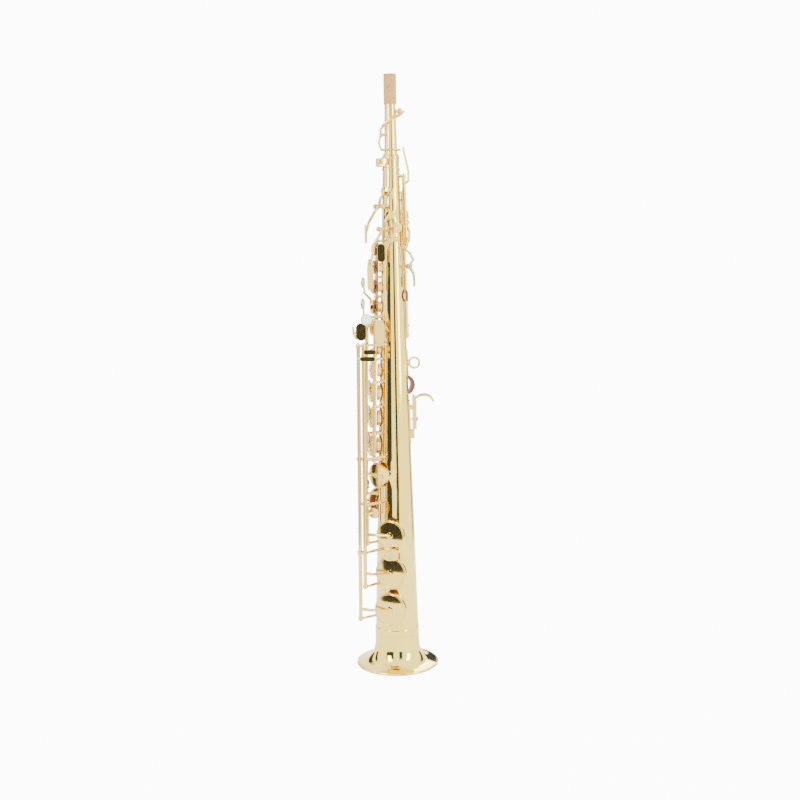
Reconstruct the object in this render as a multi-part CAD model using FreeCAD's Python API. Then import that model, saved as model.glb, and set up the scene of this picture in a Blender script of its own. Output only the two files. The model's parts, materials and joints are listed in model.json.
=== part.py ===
import FreeCAD, Part
import math
import os

# Straight soprano saxophone, lacquered brass, standing on its bell.
# Origin: centre of the bell mouth. +Z runs up the bore to the cork, +X is the
# player's side (strap ring, thumb hook), -Y is the player's left.
# A place on the tube is a height z, an azimuth az (degrees from +X) and a
# distance, either rho from the bore axis or h above the tube's outside.

# ---- driving dimensions, mm ----
HEIGHT = 650.0
BELL_R = 46.1
RIM_R = 1.6
WALL = 0.7
TUBE_BOTTOM = 40.5
TUBE_TOP = 549.0
TUBE_R0 = 25.4
TAPER = 0.030

ROD_R = 1.2
BORE_R = 1.25
HINGE_R = 2.1
POST_R = 1.3
BALL_R = 2.9
BALL_HALF = 1.6
FOOT_R = 2.4
END_GAP = 1.9
CROSS_GAP = 2.5
GUIDE_R = 3.1
GUIDE_BORE = 2.35

CHIMNEY = 2.6
CHIMNEY_WALL = 0.6
SEAT_GAP = 0.15
PAD_THICK = 3.2
PAD_PROUD = 1.0
CUP_WALL = 0.8
CUP_ROOF = 1.0
CUP_DOME = 0.06

KNUCKLE = 1.04
PEARL_R = 5.2
PEARL_H = 1.6
PEARL_RIM = 0.8
PLATE_T = 1.6

RECEIVER_R = 9.6
TENON_R = 7.55
SOCKET_R = 7.6
CORK_BOTTOM = 618.5
CORK_R = 6.9
CORK_CORE_R = 5.3
NECK_BORE_TOP = 4.5

V = FreeCAD.Vector
UP = V(0, 0, 1)
ALPHA = math.atan(TAPER)


# ---- places ----
def tube_radius(z):
    return TUBE_R0 - TAPER * z


def radial(az):
    a = math.radians(az)
    return V(math.cos(a), math.sin(a), 0)


def tangent(az):
    a = math.radians(az)
    return V(-math.sin(a), math.cos(a), 0)


def at(z, az, rho):
    return radial(az) * rho + UP * z


def above(z, az, h):
    return at(z, az, tube_radius(z) + h)


def axes(origin, x_dir, z_dir):
    """Placement with its Z along z_dir and its X as near x_dir as it can be."""
    z = V(z_dir).normalize()
    y = z.cross(x_dir).normalize()
    x = y.cross(z)
    m = FreeCAD.Matrix(x.x, y.x, z.x, origin.x, x.y, y.y, z.y, origin.y,
                       x.z, y.z, z.z, origin.z, 0, 0, 0, 1)
    return FreeCAD.Placement(m)


def seat(z, az):
    """Frame on the tube's outside: X round the tube, Y up it, Z outwards."""
    outward = radial(az) * math.cos(ALPHA) + UP * math.sin(ALPHA)
    return axes(above(z, az, 0), tangent(az), outward)


def placed(shape, placement):
    moved = shape.copy()
    moved.Placement = placement.multiply(moved.Placement)
    return moved


# ---- simple solids ----
def cylinder(start, end, r):
    return Part.makeCylinder(r, (end - start).Length, start, end - start)


def bar(points, radii):
    """Round tapered bar through the points, with a slightly fuller ball at each.

    Each ball's poles lie along the bar, inside it."""
    solids = []
    ways = [(b - a).normalize() for a, b in zip(points, points[1:])]
    for p, r, before, after in zip(points, radii, ways[:1] + ways, ways + ways[-1:]):
        solids.append(Part.makeSphere(r * KNUCKLE, p, before + after))
    for i in range(len(points) - 1):
        a, b = points[i], points[i + 1]
        ra, rb = radii[i], radii[i + 1]
        if abs(ra - rb) < 1e-6:
            solids.append(cylinder(a, b, ra))
        else:
            solids.append(Part.makeCone(ra, rb, (b - a).Length, a, b - a))
    return fused(solids)


def fused(solids):
    first = solids[0]
    if len(solids) == 1:
        return first
    return first.multiFuse(solids[1:]).removeSplitter()


def turned(points, placement=None):
    """Solid of revolution about Z of a closed outline of (r, z) points.

    A point given as (r, z, "arc") is the middle of an arc between its
    neighbours."""
    edges = []
    ring = list(points) + [points[0]]
    i = 0
    while i < len(ring) - 1:
        a = V(ring[i][0], 0, ring[i][1])
        if len(ring[i + 1]) == 3:
            mid = V(ring[i + 1][0], 0, ring[i + 1][1])
            b = V(ring[i + 2][0], 0, ring[i + 2][1])
            edges.append(Part.Arc(a, mid, b).toShape())
            i += 2
        else:
            b = V(ring[i + 1][0], 0, ring[i + 1][1])
            edges.append(Part.makeLine(a, b))
            i += 1
    face = Part.Face(Part.Wire(edges))
    solid = face.revolve(V(0, 0, 0), UP, 360)
    if placement is None:
        return solid
    return placed(solid, placement)


def plate(placement, width, height, thick=PLATE_T, corner=0.0, crown=0.5):
    """Touch plate, rounded at its corners and eased round its top edge."""
    corner = corner or 0.45 * min(width, height)
    solid = Part.makeBox(width, height, thick, V(-width / 2, -height / 2, 0))
    uprights = [e for e in solid.Edges if abs(e.Vertexes[0].Z - e.Vertexes[-1].Z) > thick / 2]
    solid = solid.makeFillet(corner, uprights)
    top = [e for e in solid.Edges if min(v.Z for v in e.Vertexes) > thick - 1e-6]
    solid = solid.makeFillet(crown, top)
    return placed(solid, placement)


# ---- the tube, its tone holes and the bell ----
def tube_cone(offset, bottom=TUBE_BOTTOM, top=TUBE_TOP):
    return Part.makeCone(tube_radius(bottom) + offset, tube_radius(top) + offset,
                         top - bottom, V(0, 0, bottom))


HOLES = []


def tone_hole(z, az, r):
    HOLES.append((z, az, r))


def make_body_tube():
    solid = tube_cone(0)
    chimneys = []
    bores = []
    for z, az, r in HOLES:
        depth = tube_radius(z)
        wall = Part.makeCylinder(r + CHIMNEY_WALL, depth + CHIMNEY, V(0, 0, -depth))
        bore = Part.makeCylinder(r, depth + CHIMNEY + 1, V(0, 0, -depth))
        chimneys.append(placed(wall, seat(z, az)))
        bores.append(placed(bore, seat(z, az)))
    solid = solid.multiFuse(chimneys)
    solid = solid.cut(tube_cone(-WALL, TUBE_BOTTOM - 0.01, TUBE_TOP + 0.01))
    return solid.cut(bores)


BELL_CURVE = [(24.2, 40.5), (24.55, 31), (25.0, 23.5), (26.2, 17), (28.6, 12), (33.0, 7.4),
              (38.5, 4.5), (44.0, 3.1)]


def bell_outline(offset):
    points = []
    last = len(BELL_CURVE) - 1
    for i, (r, z) in enumerate(BELL_CURVE):
        before = BELL_CURVE[max(i - 1, 0)]
        after = BELL_CURVE[min(i + 1, last)]
        along = V(after[0] - before[0], 0, after[1] - before[1]).normalize()
        points.append(V(r + offset * -along.z, 0, z + offset * along.x))
    points[0].z = TUBE_BOTTOM
    curve = Part.BSplineCurve()
    curve.interpolate(points)
    return curve.toShape()


def bell_solid(outer, inner):
    """Bell between two offsets of its curve, or filled when inner is None."""
    out_edge = bell_outline(outer)
    top, mouth = out_edge.Vertexes[0].Point, out_edge.Vertexes[-1].Point
    if inner is None:
        corner = [V(0, 0, mouth.z), V(0, 0, top.z)]
        edges = [out_edge, Part.makeLine(mouth, corner[0]), Part.makeLine(*corner),
                 Part.makeLine(corner[1], top)]
    else:
        in_edge = bell_outline(inner)
        in_top, in_mouth = in_edge.Vertexes[0].Point, in_edge.Vertexes[-1].Point
        edges = [out_edge, Part.makeLine(mouth, in_mouth), in_edge, Part.makeLine(in_top, top)]
    face = Part.Face(Part.Wire(Part.__sortEdges__(edges)))
    return face.revolve(V(0, 0, 0), UP, 360)


def make_bell():
    rim = Part.makeTorus(BELL_R - RIM_R, RIM_R, V(0, 0, RIM_R))
    return bell_solid(0, -WALL).fuse(rim)


FERRULE_LOW = 36.5
FERRULE_TOP = 44.5
FERRULE_PROUD = 0.4


def make_ferrule():
    """Smooth soldered ring, almost flush, that covers the joint of bell and tube."""
    r = tube_radius(TUBE_BOTTOM)
    ring = turned([(r - 2, FERRULE_LOW), (r, FERRULE_LOW), (r + FERRULE_PROUD, FERRULE_LOW + 0.6),
                   (r + FERRULE_PROUD, FERRULE_TOP - 0.6), (r, FERRULE_TOP), (r - 2, FERRULE_TOP)])
    return ring.cut(bell_solid(0, None)).cut(tube_cone(0))


# ---- hinge lines, posts and keys ----
class Line:
    """A hinge rod between two points, with posts at the heights given."""

    def __init__(self, low, high, posts, guides=()):
        self.low = low
        self.high = high
        self.along = (high - low).normalize()
        self.posts = list(posts)
        self.guides = list(guides)

    def point(self, z):
        share = (z - self.low.z) / (self.high.z - self.low.z)
        return self.low + (self.high - self.low) * share

    def rod(self):
        reach = self.along * (BALL_HALF + 0.6)
        first = self.point(min(self.posts))
        last = self.point(max(self.posts))
        return cylinder(first - reach, last + reach, ROD_R)


def surface_line(az, h, posts, guides=()):
    low, high = min(posts), max(posts)
    return Line(above(low, az, h), above(high, az, h), posts, guides)


class Key:
    """A moving key: its brass solids, its pads and pearls, and its hinge."""

    def __init__(self, name, pivot, along, travel, stands_open):
        self.name = name
        self.pivot = pivot
        self.along = along
        self.travel = travel
        self.stands_open = stands_open
        self.brass = []
        self.cuts = []
        self.pads = []
        self.pearls = []
        self.sign = 1

    def opened(self, shape):
        """The closed shape as it rests: swung open on a key that stands open."""
        if self.stands_open:
            shape = shape.copy()
            shape.rotate(self.pivot, self.along, self.sign * self.travel)
        return shape

    def body(self):
        solid = fused(self.brass)
        for tool in self.cuts:
            solid = solid.cut(tool)
        return self.opened(solid)


KEYS = []
FLAT_TIP = 0.5
CUP_EDGE = 0.9


def cup_top(r):
    return CHIMNEY + SEAT_GAP + PAD_THICK + CUP_ROOF + CUP_DOME * r


def dome(r, z, rise):
    """Outline points of a shallow dome: part of a sphere centred on the axis."""
    radius = (r * r + rise * rise) / (2 * rise)
    centre = z + rise - radius
    half = (r / 2, centre + math.sqrt(radius * radius - r * r / 4), "arc")
    tip = centre + math.sqrt(radius * radius - FLAT_TIP * FLAT_TIP)
    return [(r, z), half, (FLAT_TIP, tip), (0, tip)]


def cup_shell(r):
    bottom = CHIMNEY + SEAT_GAP + PAD_PROUD
    ceiling = CHIMNEY + SEAT_GAP + PAD_THICK
    shoulder = ceiling + CUP_ROOF
    inner = r - CUP_WALL
    return turned([(0, ceiling), (inner, ceiling), (inner, bottom), (r, bottom),
                   (r, shoulder - CUP_EDGE), (r - 0.26, shoulder - 0.26, "arc")]
                  + dome(r - CUP_EDGE, shoulder, CUP_DOME * r))


def pad_disc(r):
    low = CHIMNEY + SEAT_GAP
    edge = r - CUP_WALL
    return turned([(0, low), (edge - 0.8, low), (edge - 0.23, low + 0.23, "arc"),
                   (edge, low + 0.8), (edge, low + PAD_THICK), (0, low + PAD_THICK)])


def add_cup(key, z, az, r, hole):
    tone_hole(z, az, hole)
    key.brass.append(placed(cup_shell(r), seat(z, az)))
    key.pads.append(placed(pad_disc(r), seat(z, az)))


def local(z, az, t, u, h):
    return seat(z, az).multVec(V(t, u, h))


def raised(placement, shift):
    """The placement moved by a shift in its own directions."""
    return placement.multiply(FreeCAD.Placement(shift, FreeCAD.Rotation()))


def add_pearl(key, placement):
    """A pearl button pressed into a round brass cup."""
    r = PEARL_R + PEARL_RIM
    holder = turned([(0, 0), (r - 0.6, 0), (r, 0.6), (r, 2.0), (PEARL_R, 2.0), (PEARL_R, 0.8),
                     (0, 0.8)], placement)
    button = turned([(0, 0.8), (PEARL_R, 0.8)] + dome(PEARL_R, 2.0, PEARL_H - 1.0), placement)
    key.brass.append(holder)
    key.pearls.append(button)


def hinge_tube(key, line, low, high):
    start, end = line.point(low + END_GAP), line.point(high - END_GAP)
    key.brass.append(cylinder(start, end, HINGE_R))
    for p in (start, end - line.along * 1.2):
        key.brass.append(cylinder(p, p + line.along * 1.2, HINGE_R + 0.3))
    reach = line.along * 3
    key.cuts.append(cylinder(start - reach, end + reach, BORE_R))


def rod_key(name, line, low, high, cup, travel, stands_open=True, via=()):
    """A key whose hinge tube lies on a rod line and whose arm carries a cup.

    cup is (z, az, radius, tone-hole radius)."""
    z, az, r, hole = cup
    key = Key(name, line.point(z), line.along, travel, stands_open)
    hinge_tube(key, line, low, high)
    add_cup(key, z, az, r, hole)
    centre = local(z, az, 0, 0, cup_top(r) + 0.5)
    start = line.point(z)
    inside = seat(z, az).inverse().multVec(start)
    if via:
        path = [start] + list(via) + [centre]
    else:
        rise = max(inside.z, cup_top(r)) + 1.2
        path = [start, local(z, az, inside.x * 0.6, 0, rise), centre]
    radii = [1.9] + [1.6] * (len(path) - 2) + [1.25]
    key.brass.append(bar(path, radii))
    outward = seat(z, az).Rotation.multVec(UP)
    if line.along.cross(centre - start).dot(outward) < 0:
        key.sign = -1
    KEYS.append(key)
    return key


def seesaw_key(name, z, az, h, half, cup, travel, stands_open=False):
    """A lever rocking on a short cross rod, with a cup at its upper end."""
    pivot = above(z, az, h)
    side = tangent(az)
    key = Key(name, pivot, side, travel, stands_open)
    key.brass.append(cylinder(pivot - side * half, pivot + side * half, HINGE_R))
    key.cuts.append(cylinder(pivot - side * (half + 3), pivot + side * (half + 3), BORE_R))
    if cup:
        cz, caz, r, hole = cup
        add_cup(key, cz, caz, r, hole)
        centre = local(cz, caz, 0, 0, cup_top(r) + 0.5)
        mid = (pivot + centre) * 0.5 + radial(az) * 1.6
        key.brass.append(bar([pivot, mid, centre], [1.8, 1.5, 1.2]))
        outward = seat(cz, caz).Rotation.multVec(UP)
        if side.cross(centre - pivot).dot(outward) < 0:
            key.sign = -1
    line = Line(pivot - side * (half + CROSS_GAP), pivot + side * (half + CROSS_GAP), ())
    CROSS_RODS.append(line)
    KEYS.append(key)
    return key


CROSS_RODS = []


# Bell keys: low B flat and low B turn on two long rods from the left
# little-finger table, low C on a short rod of its own.
b_flat_line = Line(at(58, 216.0, 49.4), at(370, 216.0, 46.4), (61, 363.5), (136, 240))
b_line = Line(at(58, 222.5, 46.9), at(370, 222.5, 43.4), (98, 363.5), (136, 240))
c_line = Line(at(140, 217, 39.6), at(190, 217, 38.8), (145, 188))

low_b_flat = rod_key("low_b_flat_key", b_flat_line, 61, 363.5, (72, 257, 18.7, 14.4), 11)
low_b = rod_key("low_b_key", b_line, 98, 363.5, (113, 257, 18.2, 13.9), 11)
low_c = rod_key("low_c_key", c_line, 145, 188, (155, 259, 16.4, 12.4), 11)

# Low C sharp: cup on the far side, its long rod in front of the lower stack.
c_sharp_line = Line(at(174, 203, 36.4), at(394, 203, 30.5), (175, 393), (266,))
low_c_sharp = rod_key("low_c_sharp_key", c_sharp_line, 175, 393, (184, 125, 15.0, 11.2), 8,
                      via=(at(184, 180, 35.0), at(184, 152, 34.0)))

# Right-hand little finger: E flat stands closed on a short rod in front.
e_flat_line = Line(at(192, 180, 32.8), at(238, 180, 31.6), (196, 234))
e_flat = rod_key("e_flat_key", e_flat_line, 196, 234, (219, 215, 14.0, 10.2), 8, False)

# Lower stack, right hand, and the G sharp key above it on the same line.
LOWER_POSTS = (236, 265.5, 295, 322, 347.5, 388)
lower_line = surface_line(215, 9.7, LOWER_POSTS)
d_key = rod_key("d_key", lower_line, 236, 265.5, (250, 180, 12.0, 8.6), 12)
e_key = rod_key("e_key", lower_line, 265.5, 295, (281, 180, 11.5, 8.2), 12)
f_key = rod_key("f_key", lower_line, 295, 322, (309, 180, 11.0, 7.8), 12)
f_sharp = rod_key("f_sharp_key", lower_line, 322, 347.5, (334, 180, 9.5, 6.6), 12)
g_sharp = rod_key("g_sharp_key", lower_line, 347.5, 388, (357, 180, 8.5, 5.8), 10, False)

# Upper stack, left hand, hinged on the far side of the tube.
UPPER_POSTS = (368.5, 392, 414, 435.5, 456, 474.5)
upper_line = surface_line(145, 9.0, UPPER_POSTS)
g_key = rod_key("g_key", upper_line, 368.5, 392, (380, 180, 8.5, 5.6), 13)
a_key = rod_key("a_key", upper_line, 392, 414, (403, 180, 8.0, 5.2), 13)
bis_key = rod_key("bis_key", upper_line, 414, 435.5, (425, 180, 8.0, 5.0), 13)
b_key = rod_key("b_key", upper_line, 435.5, 456, (446, 180, 7.5, 4.6), 13)
c_key = rod_key("c_key", upper_line, 456, 474.5, (465, 180, 7.0, 4.2), 13)

# Side keys, right hand: three long rods on the player's right, all closed.
side_b_flat_line = surface_line(78, 8.5, (326, 465), (410,))
side_c_line = surface_line(63, 8.5, (348, 492), (425,))
side_e_line = surface_line(48, 8.5, (370, 526), (440,))
side_b_flat = rod_key("side_b_flat_key", side_b_flat_line, 326, 465, (457, 112, 6.5, 4.0), 10, False)
side_c = rod_key("side_c_key", side_c_line, 348, 492, (484, 107, 6.2, 3.8), 10, False)
side_e = rod_key("side_e_key", side_e_line, 370, 526, (518, 95, 5.8, 3.4), 10, False)

# Palm keys, left hand: closed levers rocking on short cross rods.
palm_d = seesaw_key("palm_d_key", 476, 270, 8.0, 3.2, (488, 287, 6.0, 3.6), 12)
palm_e_flat = seesaw_key("palm_e_flat_key", 487, 240, 8.0, 3.0, (502, 262, 5.2, 3.2), 9)
palm_f = seesaw_key("palm_f_key", 511, 222, 8.0, 3.0, (527, 245, 5.0, 3.0), 9)

# Octave vent key on the tube and thumb lever at the back.
octave_vent = seesaw_key("octave_vent_key", 494, 20, 5.5, 2.4, (505, 20, 3.6, 1.6), 10)
thumb_lever = seesaw_key("octave_thumb_lever", 447, 350, 6.5, 3.4, None, 5.7)


# ---- touches ----
def touch(key, line_point, centre, facing, x_dir, width, height, arm_r=1.6, via=()):
    """A touch plate with its arm, facing outwards, given in closed position."""
    where = axes(centre, x_dir, facing)
    key.brass.append(plate(where, width, height))
    root = centre + facing * 0.4
    path = [line_point] + list(via) + [root]
    key.brass.append(bar(path, [arm_r + 0.2] + [arm_r] * len(via) + [1.1]))


# Left little-finger table. The plates face the player's left.
NEAR = V(0, -1, 0)
touch(low_b_flat, b_flat_line.point(350), V(-25.5, -34.9, 350), NEAR, V(1, 0, 0), 17, 5.4,
      via=(V(-35.5, -33.4, 350),))
touch(low_b, b_line.point(357), V(-23.5, -34.4, 357.2), NEAR, V(1, 0, 0), 14, 5.6,
      via=(V(-29.0, -34.0, 357.0),))
touch(low_c_sharp, c_sharp_line.point(386), V(-35.5, -22.5, 378), V(-0.35, -1, 0).normalize(),
      V(1, 0, 0), 12, 19, via=(V(-31.0, -18.0, 383),))
low_c_sharp.brass.append(bar([V(-41.2, -20.5, 371), V(-43.6, -20.9, 376), V(-44.2, -21.0, 383)],
                             [1.3, 1.5, 1.2]))
low_c_sharp.brass.append(bar([V(-39.5, -20.3, 377), V(-43.6, -20.9, 377)], [1.1, 1.1]))
touch(g_sharp, lower_line.point(381), V(-14.5, -27.0, 377), NEAR, V(1, 0, 0), 11, 25,
      via=(V(-17.5, -21.5, 379),))

# Round cup for the pearl beside the G sharp plate.
GS_PEARL = V(-28.3, -28.6, 391.5)
GS_PEARL_R = 6.2
g_sharp.brass.append(turned([(0, 0), (GS_PEARL_R - 0.5, 0), (GS_PEARL_R, 0.5), (GS_PEARL_R, 1.8),
                             (GS_PEARL_R - 0.7, 1.8), (GS_PEARL_R - 0.7, 0.8), (0, 0.8)],
                            axes(GS_PEARL, V(1, 0, 0), NEAR)))
g_sharp.brass.append(bar([V(-15.5, -26.9, 384), V(-18.5, -27.5, 390.5), V(-24.0, -28.0, 391.5)],
                         [1.2, 1.4, 1.1]))

# Right little-finger touches for low C and E flat.
touch(low_c, c_line.point(178), V(-22.5, -27.5, 180), V(-0.45, -0.9, 0).normalize(), V(1, 0, 0),
      13, 11, via=(V(-28.5, -27.0, 179),))
touch(e_flat, e_flat_line.point(204), V(-30.0, 9.5, 204), V(-1, 0.15, 0).normalize(), V(0, 1, 0),
      11, 10, via=(V(-31.0, 4.5, 204),))

# Pearls: on the cups of the lower stack, raised over the next cup for LH2, LH3.
PEARL_SHIFT = 8.0
for key, z, r in ((d_key, 250, 12.0), (e_key, 281, 11.5), (f_key, 309, 11.0)):
    add_pearl(key, raised(seat(z, 180), V(0, PEARL_SHIFT, cup_top(r) - 0.5)))
add_pearl(b_key, raised(seat(446, 180), V(0, 3.0, cup_top(7.5) + 1.7)))
RAISED = 16.0
for key, cup_z, pearl_z, r, run in ((g_key, 380, 406, 8.5, 1), (a_key, 403, 429, 8.0, 8)):
    spot = raised(seat(pearl_z, 180), V(0, 0, RAISED))
    add_pearl(key, spot)
    key.brass.append(bar([local(cup_z, 180, 0, 0, cup_top(r) + 0.5),
                          local(cup_z, 180, 0, run, cup_top(r) + 0.6),
                          local(cup_z, 180, 0, run + 7, RAISED - 0.4),
                          spot.multVec(V(0, -2.0, 0.1))], [1.5, 1.5, 1.4, 0.7]))

# Side touches, each raised over the rod behind its own.
SIDE_TOUCH_H = 13.5
for key, line, z, az in ((side_b_flat, side_b_flat_line, 337, 92),
                         (side_c, side_c_line, 359, 76),
                         (side_e, side_e_line, 381, 62)):
    middle = above(z, az, SIDE_TOUCH_H)
    touch(key, line.point(z), middle, radial(az), tangent(az), 7.5, 17,
          via=(above(z, az - 9, SIDE_TOUCH_H),))

# Palm touches, curving down the player's left.
touch(palm_d, palm_d.pivot, at(462, 246, 26.5), radial(246), tangent(246), 9.6, 20,
      via=(at(475, 270, 24.5), at(471, 257, 27.0)))
touch(palm_e_flat, palm_e_flat.pivot, at(436, 222, 31.0), radial(222), tangent(222), 9, 28,
      via=(at(481, 238, 24.5), at(471, 226, 27.2), at(452, 223.5, 30.6)))
touch(palm_f, palm_f.pivot, at(482, 193, 28.0), radial(193), tangent(193), 8, 20,
      via=(at(506, 222, 23.5), at(494, 205, 27.0)))

# Octave thumb lever: touch over the thumb rest, finger up to the link.
touch(thumb_lever, thumb_lever.pivot, at(431, 352, 23.0), radial(352), tangent(352), 9, 13,
      via=(at(440, 351, 23.0),))
LINK_TIP_Z = 467
thumb_lever.brass.append(bar([thumb_lever.pivot, at(454, 350, 23.0), at(461, 338, 20.5),
                              at(LINK_TIP_Z, 326, 15.0)], [1.7, 1.4, 1.4, 1.2]))

octave_vent.brass.append(bar([octave_vent.pivot, at(484, 17, 20.0), at(474, 11, 19.0)],
                             [1.7, 1.4, 1.2]))

# Octave link: a turning tube from the thumb lever up to the neck's key.
link_line = surface_line(345, 4.6, (471, 543))
link = Key("octave_link", link_line.point(500), link_line.along, 18, False)
hinge_tube(link, link_line, 471, 543)
link.brass.append(bar([link_line.point(477), at(475, 330, 20.5), at(LINK_TIP_Z, 326, 19.0)],
                      [1.6, 1.4, 1.2]))
link.brass.append(bar([link_line.point(534), at(538, 350, 18.8), at(548, 352, 18.8),
                       at(566, 356, 14.8), at(573, 0, 13.4)], [1.6, 1.3, 1.3, 1.2, 1.1]))
KEYS.append(link)

# Neck octave key: a full ring round the neck, a yoke up to the vent at the back.
RING_Z = 571.0
RING_IN = 9.0
RING_OUT = 10.5
NECK_PIVOT = V(-10.0, 0, 587)
VENT_Z = 611.0
NECK_FOOT = 567.0
NECK_LEN = CORK_BOTTOM - NECK_FOOT
neck_key = Key("neck_octave_key", NECK_PIVOT, V(0, 1, 0), 5, False)
neck_key.brass.append(cylinder(NECK_PIVOT - V(0, 3.1, 0), NECK_PIVOT + V(0, 3.1, 0), HINGE_R))
neck_key.cuts.append(cylinder(NECK_PIVOT - V(0, 8, 0), NECK_PIVOT + V(0, 8, 0), BORE_R))
neck_key.brass.append(turned([(RING_IN, RING_Z - 0.9), (RING_OUT, RING_Z - 0.9),
                              (RING_OUT + 0.5, RING_Z, "arc"), (RING_OUT, RING_Z + 0.9),
                              (RING_IN, RING_Z + 0.9)]))
neck_key.brass.append(bar([V(-9.9, 0, RING_Z), V(-12.6, 0, 578), V(-10.9, 0, 585.6)],
                          [0.95, 1.3, 1.2]))
for side in (-1, 1):
    neck_key.brass.append(bar([V(-10.0, side * 1.9, 587), V(-10.6, side * 2.8, 592),
                               V(-7.4, side * 7.8, 597), V(0, side * 10.0, 602),
                               V(10.0, side * 7.4, 607.5), V(14.0, 0, VENT_Z)],
                              [1.4, 1.2, 1.2, 1.2, 1.2, 1.3]))


def neck_radius(z):
    return 6.9 - 0.8 * (z - NECK_FOOT) / NECK_LEN


VENT_CUP_R = 4.0
vent_seat = axes(V(neck_radius(VENT_Z), 0, VENT_Z), V(0, 1, 0), V(1, 0, 0))
neck_key.brass.append(turned([(0, 4.4), (3.2, 4.4), (3.2, 2.8), (VENT_CUP_R, 2.8),
                              (VENT_CUP_R, 4.8), (VENT_CUP_R - 0.8, 6.0), (0, 7.0)], vent_seat))
KEYS.append(neck_key)


# ---- posts, rods and guides ----
def post(spots, guide=False, foot_az=None):
    """A turned pillar from the tube to a rod, with a ball or an eye for it.

    A spot is a point on a rod and the rod's direction. With two spots it is a
    double post: the stem meets the first rod and a bridge reaches the second."""
    near = spots[0][0]
    az = foot_az
    if az is None:
        az = math.degrees(math.atan2(near.y, near.x))
    base = tube_radius(near.z)
    foot = cylinder(at(near.z, az, base - 2), at(near.z, az, base + 0.9), FOOT_R)
    start = at(near.z, az, base - 1)
    solids = [foot, Part.makeCone(POST_R + 0.5, POST_R, (near - start).Length, start, near - start)]
    bores = []
    for p, along in spots:
        if guide:
            solids.append(cylinder(p - along * 1.5, p + along * 1.5, GUIDE_R))
            bores.append(cylinder(p - along * 4, p + along * 4, GUIDE_BORE))
        else:
            slab = cylinder(p - along * BALL_HALF, p + along * BALL_HALF, BALL_R + 1)
            solids.append(Part.makeSphere(BALL_R, p).common(slab))
            bores.append(cylinder(p - along * 4, p + along * 4, ROD_R))
    if len(spots) == 2:
        solids.append(cylinder(near, spots[1][0], POST_R))
    return fused(solids).cut(bores)


DOUBLE_Z = (136, 240, 363.5)
DOUBLE_FOOT = {240: 236, 363.5: 240}
ROD_LINES = [b_flat_line, b_line, c_line, c_sharp_line, e_flat_line, lower_line, upper_line,
             side_b_flat_line, side_c_line, side_e_line, link_line]


def make_posts():
    posts = []
    for z in DOUBLE_Z:
        pair = [(line.point(z), line.along) for line in (b_line, b_flat_line)]
        posts.append(post(pair, z in b_line.guides, DOUBLE_FOOT.get(z)))
    for line in ROD_LINES:
        for z in line.posts + line.guides:
            if line in (b_line, b_flat_line) and z in DOUBLE_Z:
                continue
            posts.append(post([(line.point(z), line.along)], z in line.guides))
    for line in CROSS_RODS:
        for p in (line.low, line.high):
            posts.append(post([(p, line.along)]))
    trimmed = [p.cut(tube_cone(0)).cut(PARTS["body_tube"]) for p in posts]
    return [max(p.Solids, key=lambda solid: solid.Volume) for p in trimmed]


def make_rods():
    rods = [line.rod() for line in ROD_LINES]
    for line in CROSS_RODS:
        reach = line.along * (BALL_HALF + 0.1)
        rods.append(cylinder(line.low - reach, line.high + reach, ROD_R))
    return rods


# ---- neck, receiver and cork ----
LUG_AZ = 205
SCREW_Z = 558.5
SCREW_RHO = 13.2
SCREW_R = 1.2


def make_receiver():
    """Split socket with two lugs that the clamp screw pulls together."""
    ring = turned([(SOCKET_R, 549.0), (tube_radius(549) + 0.9, 549.0), (RECEIVER_R, 550.2),
                   (RECEIVER_R, 551.6), (RECEIVER_R - 0.7, 552.4), (RECEIVER_R - 0.7, 561.6),
                   (RECEIVER_R, 562.4), (RECEIVER_R, 564.0), (SOCKET_R, 564.0)])
    out, side = radial(LUG_AZ), tangent(LUG_AZ)
    where = axes(out * 8.2 + UP * 553, side, UP)
    lugs = Part.makeBox(9.0, 8.0, 9.0, V(-4.5, -8.0, 0))
    lugs = lugs.makeFillet(1.2, lugs.Edges)
    solid = ring.fuse(placed(lugs, where))
    solid = solid.cut(Part.makeCylinder(SOCKET_R, 30, V(0, 0, 540)))
    slit = Part.makeBox(1.2, 20, 30, V(-0.6, -20, -15))
    solid = solid.cut(placed(slit, where))
    middle = out * SCREW_RHO + UP * SCREW_Z
    return solid.cut(cylinder(middle - side * 8, middle + side * 8, SCREW_R + 0.05))


def make_clamp_screw():
    out, side = radial(LUG_AZ), tangent(LUG_AZ)
    middle = out * SCREW_RHO + UP * SCREW_Z
    shaft = cylinder(middle - side * 6.0, middle + side * 4.6, SCREW_R)
    head = turned([(0, 4.6), (2.2, 4.6), (2.2, 5.6), (3.4, 6.2), (3.4, 10.2), (2.8, 10.8),
                   (0, 10.8)], axes(middle, out, side))
    return shaft.fuse(head)


def make_neck():
    return turned([(6.9, 550.0), (TENON_R, 550.0), (TENON_R, 564.2), (8.0, 564.2),
                   (8.4, 565.6, "arc"), (8.0, 567.0), (neck_radius(567), 567.0),
                   (neck_radius(CORK_BOTTOM), CORK_BOTTOM), (CORK_CORE_R, CORK_BOTTOM),
                   (CORK_CORE_R, HEIGHT), (NECK_BORE_TOP, HEIGHT)])


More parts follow.
